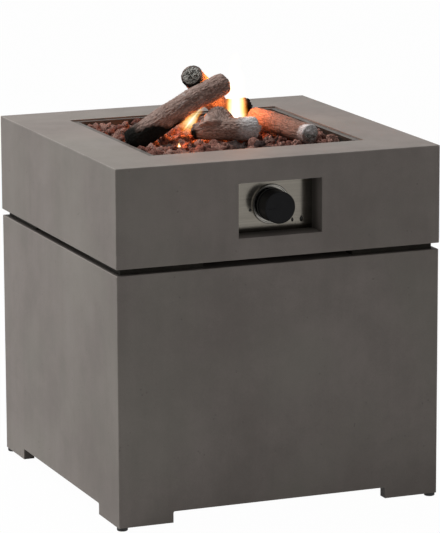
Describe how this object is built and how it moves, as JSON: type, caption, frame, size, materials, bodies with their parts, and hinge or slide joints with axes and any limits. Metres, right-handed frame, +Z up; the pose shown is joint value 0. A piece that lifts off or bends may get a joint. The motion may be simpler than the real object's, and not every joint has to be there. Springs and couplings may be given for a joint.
{
  "type": "gas fire pit",
  "caption": "Square floor-standing gas fire: hollow cast base with a rear door, cast head with a burner tray, lava rocks, ceramic logs and a push-and-turn gas knob in a recessed window.",
  "frame": {"origin": "centre of the footprint, on the floor under the feet", "axes": "+X to the right along the front, -Y is the front with the knob, +Z up"},
  "size_m": [0.605, 0.605, 0.7507],
  "materials": {
    "concrete": "matt fibre cement, fine mottling",
    "rubber": "matt",
    "pad": "matt",
    "steel_screw": "zinc plated",
    "dowel": "plain beech",
    "steel": "zinc plated",
    "magnet": "matt",
    "stainless": "brushed, heat tinted",
    "mixer": "die cast",
    "brass": "machined",
    "pipe": "drawn",
    "valve": "die cast",
    "igniter": "satin",
    "spring": "drawn wire",
    "knob": "satin black",
    "bezel": "polished",
    "porcelain": "glazed",
    "copper_lead": "drawn copper",
    "lead": "silicone sleeve",
    "ceramic_log": "rough bark, charred ends",
    "lava": "porous"
  },
  "bodies": {
    "root": {"base_casing": "concrete", "head_casing": "concrete", "foot_front_left": "rubber", "foot_front_right": "rubber", "foot_back_left": "rubber", "foot_back_right": "rubber", "pad_front_left": "pad", "pad_front_right": "pad", "pad_back_left": "pad", "pad_back_right": "pad", "foot_screws": "steel_screw", "catch_screws": "steel_screw", "panel_screws": "steel_screw", "register_dowels": "dowel", "pivot_pins": "steel", "pivot_washers": "steel", "burner_standoffs": "steel", "burner_lock_nut": "steel", "magnet_catch": "magnet", "burner_tray": "stainless", "burner_ring": "stainless", "control_panel": "stainless", "pilot_bracket": "stainless", "flame_sensor": "stainless", "mixer_tube": "mixer", "gas_jet": "brass", "jet_holder": "brass", "pipe_nuts": "brass", "gas_inlet": "brass", "nose_nut": "brass", "valve_end_cap": "brass", "gas_pipe": "pipe", "gas_valve": "valve", "spark_igniter": "igniter", "return_spring": "spring", "knob_bezel": "bezel", "spark_electrode": "porcelain", "sensor_lead": "copper_lead", "ignition_lead": "lead", "log_crossing": "ceramic_log", "log_back": "ceramic_log", "log_forked": "ceramic_log", "log_right": "ceramic_log", "log_stub": "ceramic_log", "lava_rocks": "lava"},
    "door": {"rear_door": "concrete", "strike_plate": "steel"},
    "push": {"valve_plunger": "brass"},
    "turn": {"control_knob": "knob", "valve_spindle": "brass"}
  },
  "joints": [
    {"name": "rear_door_hinge", "type": "hinge", "parent": "root", "child": "door", "pos_m": [0.1785, 0.2925, 0.238], "axis": [0, 0, -1], "range_deg": [0, 98]},
    {"name": "knob_push", "type": "slide", "parent": "root", "child": "push", "axis": [0, 1, 0], "range_m": [0, 0.005], "stiffness_N_per_m": 900, "springref_m": -0.003, "deforming": ["return_spring"]},
    {"name": "knob_turn", "type": "hinge", "parent": "push", "child": "turn", "pos_m": [0, -0.29, 0.545], "axis": [0, -1, 0], "range_deg": [0, 180]}
  ]
}
